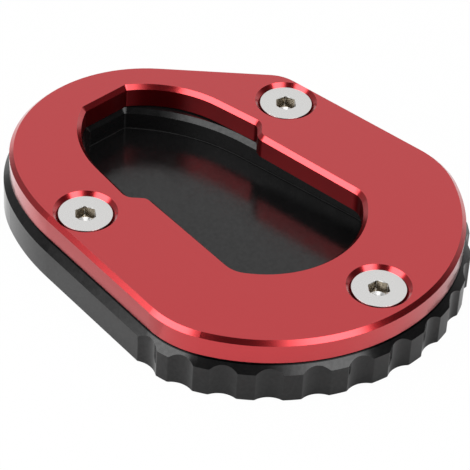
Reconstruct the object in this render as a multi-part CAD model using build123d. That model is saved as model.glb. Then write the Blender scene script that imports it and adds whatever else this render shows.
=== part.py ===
from build123d import *
import os
from math import cos, radians, sin, tan

# Kickstand foot enlarger: a red clamp plate over a black base plate, held by three countersunk screws.
# Sizes in millimetres and degrees. X = 0 on the line of the two rear screws, X to the broad front end.

# Screws, M6, all alike
screw_d = 6.0
screw_tip_height = 1.9
head_d = 12.0
head_land = 0.42
head_recess = 0.65
head_rim_chamfer = 0.1
socket_across_flats = 4.4
socket_depth = 2.8
socket_mouth_d = 4.8
socket_mouth_angle = 30.0
tip_chamfer = 0.7
shank_clearance = 0.3
thread_clearance = 0.02
thread_mouth = 0.5

# How far in from the clamp plate's edge they sit, and how each socket is turned
rear_screw_inset = 7.95
front_screw_inset = 9.3
rear_left_socket_angle = 48.0
rear_right_socket_angle = 52.0
front_socket_angle = 54.0

# Clamp plate
plate_thickness = 5.85
plate_bevel = 0.96
plate_edge_break = 0.35

# Outline of the clamp plate
side_half_width = 38.45
side_taper = 5.55
front_x = 67.85
front_corner_x = 37.95
front_corner_r = 21.3
slant_angle = 134.4
slant_distance = 32.3
slant_corner_r = 9.2
rear_radius = 31.5
rear_gap = 0.89
rear_blend_angle = 18.0

# Cut-out of the clamp plate: wide part at the rear, then a step in to two lips
cutout_rear_x = -27.35
cutout_rear_half_width = 6.23
cutout_rear_arc_end_x = -9.75
cutout_rear_corner_r = 0.5
wide_half_width = 19.42
wide_taper = 8.8
step_x = 1.8
step_depth = 3.45
step_angle = 45.0
step_outer_r = 2.0
step_inner_r = 3.0
lip_taper = 5.15
cutout_front_x = 45.3
cutout_front_corner_x = 34.6
cutout_front_corner_r = 5.3

# Base plate
base_thickness = 8.7
base_step = 1.68
base_rear_gap = 1.2
base_bevel = 1.72

# Pocket for the foot
pocket_depth = 5.25
pocket_bevel = 1.05
pocket_floor_r = 0.2
pocket_rear_ledge = 0.45
pocket_side_ledge = 0.86
pocket_rear_arc_end_x = -1.55
pocket_rear_corner_r = 1.0
pocket_taper = 7.7
pocket_front_overhang = 3.0
pocket_front_corner_x = 33.4
pocket_front_corner_r = 8.0

# Flutes round the front end of the base
flute_count = 13
flute_first_angle = -68.35
flute_pitch_angle = 10.72
flute_r = 5.0
flute_depth = 1.08
flute_edge_r = 0.6

# Heights above the ground
joint_z = base_thickness
top_z = base_thickness + plate_thickness
head_z = top_z - head_recess
screw_length = head_z - screw_tip_height

# Side lines of the outline, by their distance from the origin and their normals' directions
side_distance = side_half_width * cos(radians(side_taper))
left_side_angle = 90 + side_taper
right_side_angle = 270 - side_taper

screw_r = screw_d / 2
head_r = head_d / 2
rear_screw_y = side_half_width - rear_screw_inset
front_screw_x = front_x - front_screw_inset
screw_places = [
    (0, rear_screw_y, rear_left_socket_angle),
    (0, -rear_screw_y, rear_right_socket_angle),
    (front_screw_x, 0, front_socket_angle),
]


def line_at(half_width, taper, x):
    """Point on a side line that opens to the front by the taper."""
    return (x, half_width + x * tan(radians(taper)))


def lines_meet(direction_1, distance_1, direction_2, distance_2):
    """Point that two lines share, each given by its normal's direction and its distance from the origin."""
    a, b = radians(direction_1), radians(direction_2)
    det = cos(a) * sin(b) - sin(a) * cos(b)
    x = (distance_1 * sin(b) - distance_2 * sin(a)) / det
    y = (distance_2 * cos(a) - distance_1 * cos(b)) / det
    return (x, y)


def round_off(face, point, radius):
    """Round the corner of a face that lies nearest to a point."""
    corner = face.vertices().sort_by_distance((point[0], point[1], 0))[0]
    return fillet(corner, radius)


def mirrored(point):
    return (point[0], -point[1])


def rear_corner(gap):
    """Rear corner: an arc that touches the slant and keeps a gap to the side line, and a flatter blend."""
    to_side = side_distance - gap
    centre = Vector(
        *lines_meet(slant_angle, slant_distance - rear_radius, right_side_angle, to_side - rear_radius)
    )
    blend_angle = right_side_angle - rear_blend_angle
    middle_angle = (blend_angle + slant_angle) / 2
    outwards = Vector(1, 0).rotate(Axis.Z, blend_angle)
    blend_end = centre + outwards * rear_radius
    middle = centre + Vector(rear_radius, 0).rotate(Axis.Z, middle_angle)
    slant_start = centre + Vector(rear_radius, 0).rotate(Axis.Z, slant_angle)
    bend = Vector(*lines_meet(right_side_angle, side_distance, blend_angle, blend_end.dot(outwards)))
    forwards = Vector(1, 0).rotate(Axis.Z, -side_taper)
    side_end = bend + forwards * (blend_end - bend).length
    blend = TangentArc(side_end, blend_end, tangent=-forwards)
    return blend + ThreePointArc(blend_end, middle, slant_start), side_end, slant_start


def outline(gap=rear_gap):
    """Outer outline of the clamp plate."""
    front = line_at(side_half_width, side_taper, front_corner_x)
    slant_top = lines_meet(left_side_angle, side_distance, slant_angle, slant_distance)
    rear, side_end, slant_start = rear_corner(gap)
    sides = Line(mirrored(front), side_end) + rear + Polyline(slant_start, slant_top, front)
    face = make_face(sides + ThreePointArc(front, (front_x, 0), mirrored(front)))
    face = round_off(face, front, front_corner_r)
    face = round_off(face, mirrored(front), front_corner_r)
    return round_off(face, slant_top, slant_corner_r)


def base_outline():
    """Outline of the base: a step out all round, with its own rear corner."""
    return offset(outline(base_rear_gap), base_step)


def rear_arc(rear_x, rear_half_width, end_x, half_width, taper):
    """Arc from the rear corner that runs smoothly into a side line."""
    end = line_at(half_width, taper, end_x)
    backwards = (-cos(radians(taper)), -sin(radians(taper)))
    return TangentArc(end, (rear_x, rear_half_width), tangent=backwards), end


def closed(upper, rear, front, nose):
    """Face from its upper half, which runs from the rear corner to the start of the front arc."""
    back = Line(mirrored(rear), rear)
    nose_arc = ThreePointArc(front, (nose, 0), mirrored(front))
    return make_face(upper + back + nose_arc + mirror(upper, Plane.XZ))


def cutout():
    """Opening through the clamp plate, at the level of its walls."""
    rear = (cutout_rear_x, cutout_rear_half_width)
    arc, end = rear_arc(*rear, cutout_rear_arc_end_x, wide_half_width, wide_taper)
    step_top = line_at(wide_half_width, wide_taper, step_x)
    lip_half_width = step_top[1] - step_depth - step_x * tan(radians(lip_taper))
    step_run = step_depth / (tan(radians(step_angle)) + tan(radians(lip_taper)))
    step_foot = line_at(lip_half_width, lip_taper, step_x + step_run)
    front = line_at(lip_half_width, lip_taper, cutout_front_corner_x)
    upper = arc + Polyline(end, step_top, step_foot, front)
    face = closed(upper, rear, front, cutout_front_x)
    for point, radius in (
        (rear, cutout_rear_corner_r),
        (step_top, step_outer_r),
        (step_foot, step_inner_r),
        (front, cutout_front_corner_r),
    ):
        face = round_off(face, point, radius)
        face = round_off(face, mirrored(point), radius)
    return face


def pocket():
    """Pocket for the foot: the lips of the clamp plate reach over it along the front."""
    rear = (cutout_rear_x + pocket_rear_ledge, cutout_rear_half_width - pocket_side_ledge)
    half_width = wide_half_width - pocket_side_ledge
    arc, end = rear_arc(*rear, pocket_rear_arc_end_x, half_width, pocket_taper)
    front = line_at(half_width, pocket_taper, pocket_front_corner_x)
    upper = arc + Line(end, front)
    face = closed(upper, rear, front, cutout_front_x + pocket_front_overhang)
    for point, radius in ((rear, pocket_rear_corner_r), (front, pocket_front_corner_r)):
        face = round_off(face, point, radius)
        face = round_off(face, mirrored(point), radius)
    return face


def make_screw():
    """Screw with its head's face at Z = 0, pointing down."""
    cone_end = -head_land - (head_r - screw_r)
    profile = Polyline(
        (0, 0),
        (head_r - head_rim_chamfer, 0),
        (head_r, -head_rim_chamfer),
        (head_r, -head_land),
        (screw_r, cone_end),
        (screw_r, tip_chamfer - screw_length),
        (screw_r - tip_chamfer, -screw_length),
        (0, -screw_length),
        close=True,
    )
    body = revolve(make_face(Plane.XZ * profile), Axis.Z)
    hexagon = RegularPolygon(socket_across_flats / 2, 6, major_radius=False, rotation=30)
    socket = extrude(hexagon, -socket_depth)
    mouth_r = socket_mouth_d / 2
    mouth_fall = mouth_r * tan(radians(socket_mouth_angle))
    mouth = Pos(0, 0, -mouth_fall / 2) * Cone(0, mouth_r, mouth_fall)
    point_r = socket_across_flats / 2
    point_fall = point_r * tan(radians(socket_mouth_angle))
    drill_point = Pos(0, 0, -socket_depth - point_fall / 2) * Cone(0, point_r, point_fall)
    return body - socket - mouth - drill_point


def make_top_plate():
    plate = extrude(Pos(0, 0, joint_z) * (outline() - cutout()), plate_thickness)
    plate = chamfer(plate.faces().sort_by(Axis.Z)[-1].edges(), plate_bevel)
    plate = chamfer(plate.faces().sort_by(Axis.Z)[0].edges(), plate_edge_break)
    hole_r = screw_r + shank_clearance
    sink_r = head_r + head_recess + head_land
    sink_depth = sink_r - hole_r
    for x, y, _ in screw_places:
        plate -= Pos(x, y, joint_z + plate_thickness / 2) * Cylinder(hole_r, plate_thickness)
        plate -= Pos(x, y, top_z - sink_depth / 2) * Cone(hole_r, sink_r, sink_depth)
    return plate


def fluted(plain):
    """Outline of the base with its flutes, their edges rounded."""
    centre_path = offset(outline(), base_step + flute_r - flute_depth)
    reach = 2 * front_x
    face = plain
    for i in range(flute_count):
        angle = radians(flute_first_angle + i * flute_pitch_angle)
        ray = Line((middle_x, 0), (middle_x + reach * cos(angle), reach * sin(angle)))
        inside = centre_path.face().intersect(ray.edge())
        place = inside.vertices().sort_by_distance((middle_x, 0, 0))[-1]
        face -= Pos(place.X, place.Y) * Circle(flute_r)
    return offset(offset(face, -flute_edge_r), flute_edge_r)


def make_base_plate():
    plain = base_outline()
    base = extrude(plain, base_thickness)
    base = chamfer(base.faces().sort_by(Axis.Z)[-1].edges(), base_bevel)
    base &= extrude(fluted(plain), base_thickness)

    hollow = extrude(Pos(0, 0, joint_z) * pocket(), -pocket_depth)
    hollow = fillet(hollow.faces().sort_by(Axis.Z)[0].edges(), pocket_floor_r)
    base -= hollow
    rim = base.faces().sort_by(Axis.Z)[-1].inner_wires()[0]
    base = chamfer(rim.edges(), pocket_bevel)

    hole_r = screw_r + thread_clearance
    for x, y, _ in screw_places:
        base -= Pos(x, y, base_thickness / 2) * Cylinder(hole_r, base_thickness)
        base -= Pos(x, y, thread_mouth / 2) * Cone(hole_r + thread_mouth, hole_r, thread_mouth)
    return base


# Middle of the footprint: the flutes are set out round it, and it is the origin, on the ground
middle_x = base_outline().bounding_box().center().X

top_plate = make_top_plate()
base_plate = make_base_plate()
screw = make_screw()
clamp_screws = [Pos(x, y, head_z) * Rot(0, 0, turn) * screw for x, y, turn in screw_places]

to_origin = Pos(-middle_x, 0, 0)
os.makedirs("parts", exist_ok=True)
export_step(to_origin * top_plate, "parts/top_plate.step")
export_step(to_origin * base_plate, "parts/base_plate.step")
export_step(Compound(children=[to_origin * s for s in clamp_screws]), "parts/clamp_screws.step")
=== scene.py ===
from math import cos, pi, radians, sin

import bpy
from mathutils import Matrix, Vector


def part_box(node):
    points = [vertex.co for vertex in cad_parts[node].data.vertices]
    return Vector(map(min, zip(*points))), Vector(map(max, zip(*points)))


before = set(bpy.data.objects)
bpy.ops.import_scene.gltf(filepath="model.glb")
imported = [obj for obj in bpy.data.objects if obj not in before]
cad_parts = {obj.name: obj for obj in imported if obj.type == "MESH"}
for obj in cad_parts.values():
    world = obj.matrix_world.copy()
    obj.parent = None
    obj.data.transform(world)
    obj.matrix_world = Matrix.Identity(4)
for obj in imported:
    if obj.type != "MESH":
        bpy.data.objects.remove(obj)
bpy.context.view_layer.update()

MM = 0.001

# Camera, fitted to the photograph
TARGET = Vector((11.934, -11.57, 14.55)) * MM
CAMERA_AZIMUTH = -46.25
CAMERA_ELEVATION = 39.91
CAMERA_DISTANCE = 0.5559
CAMERA_ROLL = 3.6
CAMERA_LENS = 199.0
SENSOR_WIDTH = 36.0
FRAME_PIXELS = 470
HALF_PIXEL = 0.5 / FRAME_PIXELS

# Soft boxes, with azimuths counted from the camera's side
LEFT_BOX = dict(
    azimuth=-67.5, elevation=38.0, distance=0.8, width=0.72, height=0.56, radiance=4.5, fades=(0.29, 0.17)
)
RIGHT_BOX = dict(
    azimuth=40.0, elevation=46.0, distance=0.8, width=0.64, height=0.48, radiance=4.5, fades=(0.48, 0.17)
)

# Room: round patches of light, a glow along the horizon up to a height in degrees, and a dim rest
BACKDROP = dict(azimuth=176.0, elevation=40.0, inner=44.0, outer=62.0, level=1.07)
OVERHEAD = dict(azimuth=0.0, elevation=90.0, inner=12.0, outer=18.0, level=2.5)
SIDE_WALL = dict(azimuth=-112.0, elevation=16.0, inner=8.0, outer=25.0, level=0.42)
HORIZON_LEVEL = 0.6
HORIZON_HEIGHT = 20.0
ROOM_LEVEL = 0.07

# Floor, and the shares of plain white that rays from the camera and from glossy faces see in it
FLOOR_HALF = 3.0
FLOOR_DROP = 0.05 * MM
FLOOR_WHITE = (0.82, 0.82, 0.82, 1.0)
WHITE_TO_CAMERA = 0.98
WHITE_TO_GLOSS = 0.05

# White card on the floor, seen in reflections only
CARD_AZIMUTH = -90.0
CARD_NEAR = 0.0
CARD_FAR = 40.0 * MM
CARD_WHITE = 0.9

# Greyer strip of floor along the part's side, seen in reflections only
STRIP_AZIMUTH = -49.3
STRIP_NEAR = 45.5 * MM
STRIP_FAR = 58.0 * MM
STRIP_FRONT = 15.0 * MM
STRIP_FADE = 2.0 * MM
STRIP_GREY = (0.66, 0.66, 0.66, 1.0)

# Limits of the upward part of a face's normal, by which faces are told apart
UPRIGHT_LIMITS = (0.2, 0.6)
SLOPE_LIMITS = (0.3, 0.5)
TOP_LIMITS = (0.85, 0.97)
LEVEL_LIMITS = (0.97, 0.99)
UNDER_LIMITS = (-0.6, -0.2)

# Least distance from the middle of the plan at which a wall that faces it counts as inward
INWARD_LEAST = 0.5 * MM

# Clouds of noise: their detail, and the range of the noise that is spread out
CLOUD_DETAIL = 3.0
CLOUD_RANGE = (0.3, 0.7)

# Red anodising, in linear colours; inside is the cut-out's walls, which take a darker copy of the red as
# painted shade
RED = (0.54, 0.007, 0.0145, 1.0)
RED_INSIDE_PAINTED_SHADE = (0.34, 0.0045, 0.009, 1.0)
# Edge break over the joint of the plates, painted near black: painted shade
EDGE_BREAK_PAINTED_SHADE = (0.01, 0.002, 0.002, 1.0)
RED_METALLIC = 0.97
RED_COAT_IOR = 1.57
RED_COAT_ROUGH = 0.16
INSIDE_COAT = 0.5
BEVEL_ROUGH = 0.20
TOP_ROUGH = 0.36
INSIDE_ROUGH = 0.29
INSIDE_STRETCH = 0.9
RED_CLOUD_SCALE = 60.0
RED_DRIFT = 0.02
GRAIN_SCALE = 9000.0
GRAIN_DETAIL = 2.0
SINK_RINGS = 0.3
RED_BUMP = 0.05
RED_BUMP_DEPTH = 0.02 * MM

# Black anodising, in linear colour; dull is about the share of gloss that a face loses, which at the joint
# and in the pocket's floor corner is painted shade
BLACK = (0.0065, 0.0065, 0.0067, 1.0)
BLACK_IOR = 1.45
WALL_ROUGH = 0.13
POCKET_WALL_ROUGH = 0.28
RIM_ROUGH = 0.2
RIM_DULL = 0.24
# Floor corner of the pocket, up to a height: rougher, and duller as painted shade
CORNER_HEIGHT = 3.8 * MM
CORNER_ROUGH = 0.6
CORNER_PAINTED_SHADE_DULL = 0.35
FLOOR_ROUGH = 0.185
FLOOR_LEAN = (-0.035, 0.036, 0.0)
# Top of the bevel just under the red plate, which loses its gloss as painted shade of the joint
JOINT_HEIGHT = 8.53 * MM
JOINT_PAINTED_SHADE_DULL = 0.95
MOTTLE_SCALE = 1300.0
WALL_MOTTLE = 0.18
FLOOR_MOTTLE = 0.2
BLACK_CLOUD_SCALE = 400.0
BLACK_DRIFT = 0.03
BLACK_BUMP = 0.1
BLACK_BUMP_DEPTH = 0.01 * MM

# Stainless steel, in linear colours
STEEL = (0.76, 0.755, 0.745, 1.0)
# Socket walls, a darker brown than the steel: painted shade
SOCKET_PAINTED_SHADE = (0.30, 0.26, 0.20, 1.0)
# Heads' rims, painted dark red: painted shade and a painted reflection of the countersink
HEAD_RIM_PAINTED_SHADE = (0.14, 0.05, 0.05, 1.0)
STEEL_ROUGH_RANGE = (0.22, 0.28)
STEEL_CLOUD_SCALE = 900.0
STEEL_BUMP = 0.03
STEEL_BUMP_DEPTH = 0.01 * MM

# Screw heads, sockets and countersinks, and the pitch of the rings that turning leaves on them
HEAD_RADIUS = 6.0 * MM
HEAD_FACE_RADIUS = 5.9 * MM
SINK_RADIUS = 7.2 * MM
SOCKET_RADIUS = 2.5 * MM
TURNED_PITCH = 0.28 * MM


def direction(azimuth, elevation=0.0):
    """Unit vector at an azimuth counted from the camera's side and an elevation, in degrees."""
    turn = radians(CAMERA_AZIMUTH + azimuth)
    rise = radians(elevation)
    return Vector((cos(rise) * cos(turn), cos(rise) * sin(turn), sin(rise)))


def look_matrix(place, target, roll=0.0):
    """Matrix of a camera or lamp at a place that looks at a target, turned about its own axis."""
    back = (place - target).normalized()
    level_right = Vector((0, 0, 1)).cross(back).normalized()
    level_up = back.cross(level_right)
    right = level_right * cos(radians(roll)) + level_up * sin(radians(roll))
    up = back.cross(right)
    matrix = Matrix((right, up, back)).transposed().to_4x4()
    matrix.translation = place
    return matrix


class Nodes:
    """Short way to write a node tree."""

    def __init__(self, tree):
        self.tree = tree
        self.tree.nodes.clear()

    def add(self, kind, values=None, **settings):
        """New node, with values or outputs for its inputs, by their names or numbers."""
        node = self.tree.nodes.new(kind)
        for name, value in settings.items():
            setattr(node, name, value)
        for key, value in (values or {}).items():
            self.put(node.inputs[key], value)
        return node

    def put(self, socket, value):
        """Link an input to an output, or set its value."""
        if isinstance(value, bpy.types.NodeSocket):
            self.tree.links.new(value, socket)
        else:
            socket.default_value = value

    def math(self, operation, *values):
        return self.add("ShaderNodeMath", dict(enumerate(values)), operation=operation).outputs[0]

    def product(self, first, *others):
        for other in others:
            first = self.math("MULTIPLY", first, other)
        return first

    def opposite(self, share):
        """What a share leaves of one."""
        return self.math("SUBTRACT", 1.0, share)

    def ramp(self, value, low, high, from_value=0.0, to_value=1.0):
        """Smooth step of a value between two limits."""
        node = self.add(
            "ShaderNodeMapRange",
            {"Value": value, "From Min": low, "From Max": high, "To Min": from_value, "To Max": to_value},
            interpolation_type="SMOOTHSTEP",
        )
        return node.outputs["Result"]

    def mix_value(self, share, first, second):
        """Value between two, by a share."""
        return self.math("MULTIPLY_ADD", share, self.math("SUBTRACT", second, first), first)

    def mix(self, share, first, second):
        """Colour between two, by a share."""
        node = self.add("ShaderNodeMix", data_type="RGBA")
        self.put(node.inputs["Factor"], share)
        self.put(node.inputs["A"], first)
        self.put(node.inputs["B"], second)
        return node.outputs["Result"]

    def blend(self, share, first, second):
        """Shader between two, by a share."""
        return self.add("ShaderNodeMixShader", {0: share, 1: first.outputs[0], 2: second.outputs[0]})

    def vector(self, operation, *values):
        node = self.add("ShaderNodeVectorMath", dict(enumerate(values)), operation=operation)
        return node.outputs["Vector"]

    def dot(self, first, second):
        node = self.add("ShaderNodeVectorMath", {0: first, 1: second}, operation="DOT_PRODUCT")
        return node.outputs["Value"]

    def axis(self, vector, name):
        """One coordinate of a vector."""
        return self.add("ShaderNodeSeparateXYZ", {0: vector}).outputs[name]

    def flat(self, vector):
        """A vector's part in the plan."""
        return self.vector("MULTIPLY", vector, (1.0, 1.0, 0.0))

    def geometry(self, name):
        return self.add("ShaderNodeNewGeometry").outputs[name]

    def place(self):
        """Place on the object, in its own frame."""
        return self.add("ShaderNodeTexCoord").outputs["Object"]

    def noise(self, place, scale, detail=CLOUD_DETAIL):
        node = self.add("ShaderNodeTexNoise", {"Vector": place, "Scale": scale, "Detail": detail})
        return node.outputs["Fac"]

    def bump(self, strength, depth, height):
        return self.add("ShaderNodeBump", {"Strength": strength, "Distance": depth, "Height": height})

    def finish(self, shader, kind="ShaderNodeOutputMaterial"):
        self.put(self.add(kind).inputs["Surface"], shader.outputs[0])


def add_camera():
    data = bpy.data.cameras.new("camera")
    data.sensor_width = SENSOR_WIDTH
    data.lens = CAMERA_LENS
    data.shift_x = -HALF_PIXEL
    data.shift_y = HALF_PIXEL
    camera = bpy.data.objects.new("camera", data)
    place = TARGET + direction(0, CAMERA_ELEVATION) * CAMERA_DISTANCE
    camera.matrix_world = look_matrix(place, TARGET, CAMERA_ROLL)
    bpy.context.collection.objects.link(camera)
    bpy.context.scene.camera = camera


def add_soft_box(name, box):
    """Area lamp that faces the object and fades towards its two upright sides.

    Its fades are shares of its width, at the side of the lower azimuth and at that of the higher.
    """
    data = bpy.data.lights.new(name, "AREA")
    data.shape = "RECTANGLE"
    data.size = box["width"]
    data.size_y = box["height"]
    data.energy = box["radiance"] * pi * box["width"] * box["height"]
    data.use_nodes = True
    nodes = Nodes(data.node_tree)
    across = nodes.axis(nodes.geometry("Parametric"), "X")
    low_fade, high_fade = box["fades"]
    low_side = nodes.ramp(across, 0.0, low_fade)
    high_side = nodes.ramp(across, 1.0 - high_fade, 1.0, 1.0, 0.0)
    strength = nodes.product(low_side, high_side)
    nodes.finish(nodes.add("ShaderNodeEmission", {"Strength": strength}), "ShaderNodeOutputLight")
    lamp = bpy.data.objects.new(name, data)
    place = TARGET + direction(box["azimuth"], box["elevation"]) * box["distance"]
    lamp.matrix_world = look_matrix(place, TARGET)
    bpy.context.collection.objects.link(lamp)


def patch_level(nodes, towards, patch):
    """Level of a round patch of light in a direction: full up to its inner angle, gone at its outer."""
    nearness = nodes.dot(towards, direction(patch["azimuth"], patch["elevation"]))
    start = cos(radians(patch["outer"]))
    full = cos(radians(patch["inner"]))
    return nodes.ramp(nearness, start, full, ROOM_LEVEL, patch["level"])


def room_light():
    """World: the patches of light and the glow along the horizon, in a dim room."""
    world = bpy.data.worlds.new("room")
    bpy.context.scene.world = world
    world.use_nodes = True
    nodes = Nodes(world.node_tree)
    towards = nodes.add("ShaderNodeTexCoord").outputs["Generated"]
    height = nodes.axis(towards, "Z")
    level = nodes.ramp(height, 0.0, sin(radians(HORIZON_HEIGHT)), HORIZON_LEVEL, ROOM_LEVEL)
    for patch in (BACKDROP, OVERHEAD, SIDE_WALL):
        level = nodes.math("MAXIMUM", level, patch_level(nodes, towards, patch))
    nodes.finish(nodes.add("ShaderNodeBackground", {"Strength": level}), "ShaderNodeOutputWorld")


def new_material(name):
    material = bpy.data.materials.new(name)
    material.use_nodes = True
    return material, Nodes(material.node_tree)


def white_to_gloss(nodes, place):
    """Share of white that glossy rays see at a place on the floor: more of it towards the card."""
    towards_card = nodes.dot(place, direction(CARD_AZIMUTH))
    return nodes.ramp(towards_card, CARD_NEAR, CARD_FAR, WHITE_TO_GLOSS, CARD_WHITE)


def strip_share(nodes, place):
    """One on the greyer strip of the floor, and nought beside it."""
    aside = nodes.dot(place, direction(STRIP_AZIMUTH))
    ahead = nodes.axis(place, "X")
    near_edge = nodes.ramp(aside, STRIP_NEAR, STRIP_NEAR + STRIP_FADE)
    far_edge = nodes.ramp(aside, STRIP_FAR - STRIP_FADE, STRIP_FAR, 1.0, 0.0)
    front_edge = nodes.ramp(ahead, STRIP_FRONT - STRIP_FADE, STRIP_FRONT, 1.0, 0.0)
    return nodes.product(near_edge, far_edge, front_edge)


def floor_material():
    """Pale floor, near white to the camera, that still takes a faint shadow.

    The card and the strip on it show in reflections only. It is clear from below, so that the part's
    underside can be seen.
    """
    material, nodes = new_material("floor")
    path = nodes.add("ShaderNodeLightPath")
    gloss = nodes.math("MAXIMUM", path.outputs["Is Glossy Ray"], path.outputs["Is Transmission Ray"])
    place = nodes.place()
    strip = nodes.product(strip_share(nodes, place), gloss)
    to_gloss = nodes.product(gloss, white_to_gloss(nodes, place), nodes.opposite(strip))
    to_camera = nodes.product(path.outputs["Is Camera Ray"], WHITE_TO_CAMERA)
    share = nodes.math("MAXIMUM", to_gloss, to_camera)
    diffuse = nodes.add("ShaderNodeBsdfDiffuse", {"Color": nodes.mix(strip, FLOOR_WHITE, STRIP_GREY)})
    white = nodes.add("ShaderNodeEmission", {"Strength": 1.0})
    clear = nodes.add("ShaderNodeBsdfTransparent")
    from_below = nodes.geometry("Backfacing")
    nodes.finish(nodes.blend(from_below, nodes.blend(share, diffuse, white), clear))
    return material


def add_floor():
    mesh = bpy.data.meshes.new("floor")
    half = FLOOR_HALF
    drop = -FLOOR_DROP
    corners = [(-half, -half, drop), (half, -half, drop), (half, half, drop), (-half, half, drop)]
    mesh.from_pydata(corners, [], [(0, 1, 2, 3)])
    floor = bpy.data.objects.new("floor", mesh)
    bpy.context.collection.objects.link(floor)
    mesh.materials.append(floor_material())


def screw_axes():
    """Plan positions of the three screws: two at the rear, one in front."""
    low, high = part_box("clamp_screws")
    rear_x = low[0] + HEAD_RADIUS
    side_y = high[1] - HEAD_RADIUS
    front_x = high[0] - HEAD_RADIUS
    return [(rear_x, side_y), (rear_x, -side_y), (front_x, 0.0)]


def axis_distance(nodes, place):
    """Distance of a place from the nearest screw axis, in the plan."""
    flat_place = nodes.flat(place)
    distances = []
    for x, y in screw_axes():
        apart = nodes.add("ShaderNodeVectorMath", {0: flat_place, 1: (x, y, 0.0)}, operation="DISTANCE")
        distances.append(apart.outputs["Value"])
    nearest = nodes.math("MINIMUM", distances[0], distances[1])
    return nodes.math("MINIMUM", nearest, distances[2])


def turned_rings(nodes, distance):
    """Height of the fine rings that turning leaves round an axis."""
    return nodes.math("SINE", nodes.math("MULTIPLY", distance, 2 * pi / TURNED_PITCH))


def face_height(nodes):
    """Upward part of a face's own normal."""
    return nodes.axis(nodes.geometry("True Normal"), "Z")


def up_share(nodes, limits):
    """How far a face looks up, between two limits of its normal's upward part."""
    return nodes.ramp(face_height(nodes), *limits)


def edge_break_shade_share(nodes):
    """How far a face looks down, as the edge break over the joint of the plates does, which is painted
    near black as painted shade.
    """
    return nodes.ramp(face_height(nodes), *UNDER_LIMITS, 1.0, 0.0)


def inward_share(nodes, place):
    """One on walls that face the middle of the plan, as the cut-out's and the pocket's do."""
    facing = nodes.dot(nodes.flat(nodes.geometry("True Normal")), place)
    return nodes.math("LESS_THAN", facing, -INWARD_LEAST)


def red_anodised():
    """Red dyed anodising: satin top, brighter bevels and walls, under a clear oxide layer."""
    material, nodes = new_material("red_anodised_finish")
    place = nodes.place()
    top = up_share(nodes, TOP_LIMITS)
    upright = nodes.opposite(up_share(nodes, UPRIGHT_LIMITS))
    inside = nodes.product(inward_share(nodes, place), upright)
    under = edge_break_shade_share(nodes)
    # The cut-out's walls take a darker copy of the red: painted shade.
    colour = nodes.mix(inside, RED, RED_INSIDE_PAINTED_SHADE)
    # The edge break over the joint of the plates is painted near black and loses its coat: painted shade.
    colour = nodes.mix(under, colour, EDGE_BREAK_PAINTED_SHADE)
    coat = nodes.product(nodes.mix_value(inside, 1.0, INSIDE_COAT), nodes.opposite(under))
    cloud = nodes.noise(place, RED_CLOUD_SCALE)
    rough = nodes.mix_value(top, BEVEL_ROUGH, TOP_ROUGH)
    rough = nodes.mix_value(inside, rough, INSIDE_ROUGH)
    rough = nodes.math("ADD", rough, nodes.ramp(cloud, *CLOUD_RANGE, -RED_DRIFT, RED_DRIFT))

    grain = nodes.product(nodes.noise(place, GRAIN_SCALE, GRAIN_DETAIL), top)
    distance = axis_distance(nodes, place)
    in_sink = nodes.math("LESS_THAN", distance, SINK_RADIUS)
    rings = nodes.product(turned_rings(nodes, distance), in_sink, SINK_RINGS)
    bump = nodes.bump(RED_BUMP, RED_BUMP_DEPTH, nodes.math("ADD", grain, rings))
    shader = nodes.add(
        "ShaderNodeBsdfPrincipled",
        {
            "Base Color": colour,
            "Metallic": RED_METALLIC,
            "Roughness": rough,
            "Anisotropic": nodes.product(inside, INSIDE_STRETCH),
            "Tangent": nodes.add("ShaderNodeCombineXYZ", {"Z": 1.0}).outputs[0],
            "Coat Weight": coat,
            "Coat Roughness": RED_COAT_ROUGH,
            "Coat IOR": RED_COAT_IOR,
            "Normal": bump.outputs[0],
        },
    )
    nodes.finish(shader)
    return material


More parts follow.
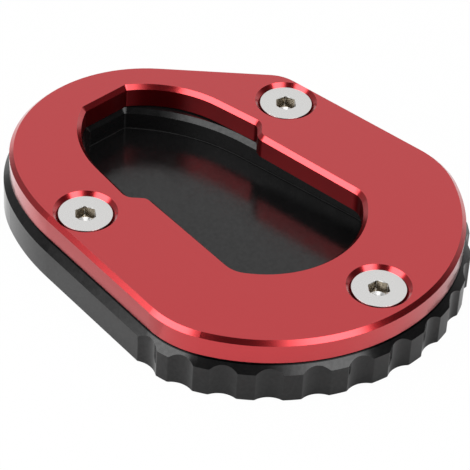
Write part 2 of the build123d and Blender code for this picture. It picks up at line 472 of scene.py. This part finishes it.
def black_anodised():
    """Black dyed anodising: smooth walls, a duller pocket, and a fine mottling all over.

    A face loses its gloss where the shader's metallic value rises, because the base colour is near black.
    """
    material, nodes = new_material("black_anodised_finish")
    place = nodes.place()
    height = nodes.axis(place, "Z")
    level = up_share(nodes, LEVEL_LIMITS)
    inward = inward_share(nodes, place)
    outward = nodes.opposite(nodes.math("MAXIMUM", inward, level))
    rim = nodes.product(inward, up_share(nodes, SLOPE_LIMITS))
    corner = nodes.product(inward, nodes.math("LESS_THAN", height, CORNER_HEIGHT))
    # The bevel's top just under the red plate loses its gloss: painted shade of the joint.
    joint = nodes.product(outward, nodes.math("GREATER_THAN", height, JOINT_HEIGHT))
    cloud = nodes.noise(place, BLACK_CLOUD_SCALE)
    rough = nodes.mix_value(inward, WALL_ROUGH, POCKET_WALL_ROUGH)
    rough = nodes.mix_value(rim, rough, RIM_ROUGH)
    rough = nodes.mix_value(corner, rough, CORNER_ROUGH)
    rough = nodes.mix_value(level, rough, FLOOR_ROUGH)
    rough = nodes.math("ADD", rough, nodes.ramp(cloud, *CLOUD_RANGE, -BLACK_DRIFT, BLACK_DRIFT))
    mottle = nodes.ramp(nodes.noise(place, MOTTLE_SCALE), *CLOUD_RANGE)
    mottle = nodes.product(mottle, nodes.mix_value(level, WALL_MOTTLE, FLOOR_MOTTLE))
    # The pocket's floor corner loses gloss: painted shade.
    dull = nodes.mix_value(corner, nodes.product(rim, RIM_DULL), CORNER_PAINTED_SHADE_DULL)
    dull = nodes.math("ADD", nodes.product(dull, nodes.opposite(level)), mottle)
    dull = nodes.mix_value(joint, dull, JOINT_PAINTED_SHADE_DULL)

    lean = nodes.add("ShaderNodeVectorMath", {0: FLOOR_LEAN, "Scale": level}, operation="SCALE").outputs[0]
    leaning = nodes.vector("NORMALIZE", nodes.vector("ADD", nodes.geometry("Normal"), lean))
    bump = nodes.bump(BLACK_BUMP, BLACK_BUMP_DEPTH, cloud)
    nodes.put(bump.inputs["Normal"], leaning)
    shader = nodes.add(
        "ShaderNodeBsdfPrincipled",
        {
            "Base Color": BLACK,
            "Metallic": dull,
            "Roughness": rough,
            "IOR": BLACK_IOR,
            "Normal": bump.outputs[0],
        },
    )
    nodes.finish(shader)
    return material


def stainless():
    """Plain stainless steel of the screws: turned heads, painted shade on the sockets' walls and on the
    heads' rims.
    """
    material, nodes = new_material("stainless_finish")
    place = nodes.place()
    distance = axis_distance(nodes, place)
    in_socket = nodes.math("LESS_THAN", distance, SOCKET_RADIUS)
    upright = nodes.opposite(up_share(nodes, UPRIGHT_LIMITS))
    at_rim = nodes.math("GREATER_THAN", distance, HEAD_FACE_RADIUS)
    # The sockets' walls are painted darker brown: painted shade.
    colour = nodes.mix(nodes.product(in_socket, upright), STEEL, SOCKET_PAINTED_SHADE)
    # The heads' rims are painted dark red: painted shade and a painted reflection of the countersink.
    colour = nodes.mix(at_rim, colour, HEAD_RIM_PAINTED_SHADE)
    cloud = nodes.noise(place, STEEL_CLOUD_SCALE)
    rough = nodes.ramp(cloud, *CLOUD_RANGE, *STEEL_ROUGH_RANGE)
    bump = nodes.bump(STEEL_BUMP, STEEL_BUMP_DEPTH, turned_rings(nodes, distance))
    shader = nodes.add(
        "ShaderNodeBsdfPrincipled",
        {"Base Color": colour, "Metallic": 1.0, "Roughness": rough, "Normal": bump.outputs[0]},
    )
    nodes.finish(shader)
    return material


def dress(node, material):
    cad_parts[node].material_slots[0].material = material


bpy.context.scene.view_settings.view_transform = "Standard"
add_camera()
add_soft_box("soft_box_right", RIGHT_BOX)
add_soft_box("soft_box_left", LEFT_BOX)
room_light()
add_floor()
dress("top_plate", red_anodised())
dress("base_plate", black_anodised())
dress("clamp_screws", stainless())
